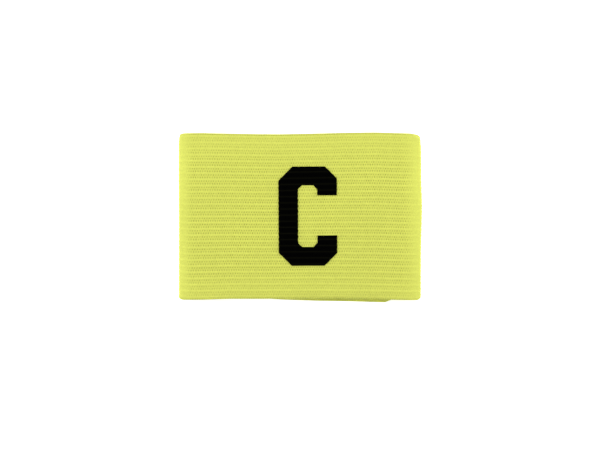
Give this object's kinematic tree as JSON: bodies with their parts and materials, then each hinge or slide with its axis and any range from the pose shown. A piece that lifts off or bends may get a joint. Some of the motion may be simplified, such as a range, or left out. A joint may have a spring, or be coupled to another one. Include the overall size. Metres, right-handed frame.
{
  "type": "captain armband",
  "caption": "Ribbed elastic armband loop lying pressed flat, ends lapped and sewn at the back, with a thin block letter C film on the front.",
  "frame": {"origin": "centre of the outline on the surface that the armband's back lies on", "axes": "+X from the left fold to the right fold with the front towards the viewer, +Y to the armband's top edge, +Z away from the surface"},
  "size_m": [0.1306, 0.0908, 0.0088],
  "materials": {
    "elastic": "matte ribbed knit, fluorescent yellow-green",
    "letter_film": "matte heat-pressed film"
  },
  "bodies": {
    "root": {"band": "elastic", "letter_c": "letter_film"}
  },
  "joints": []
}
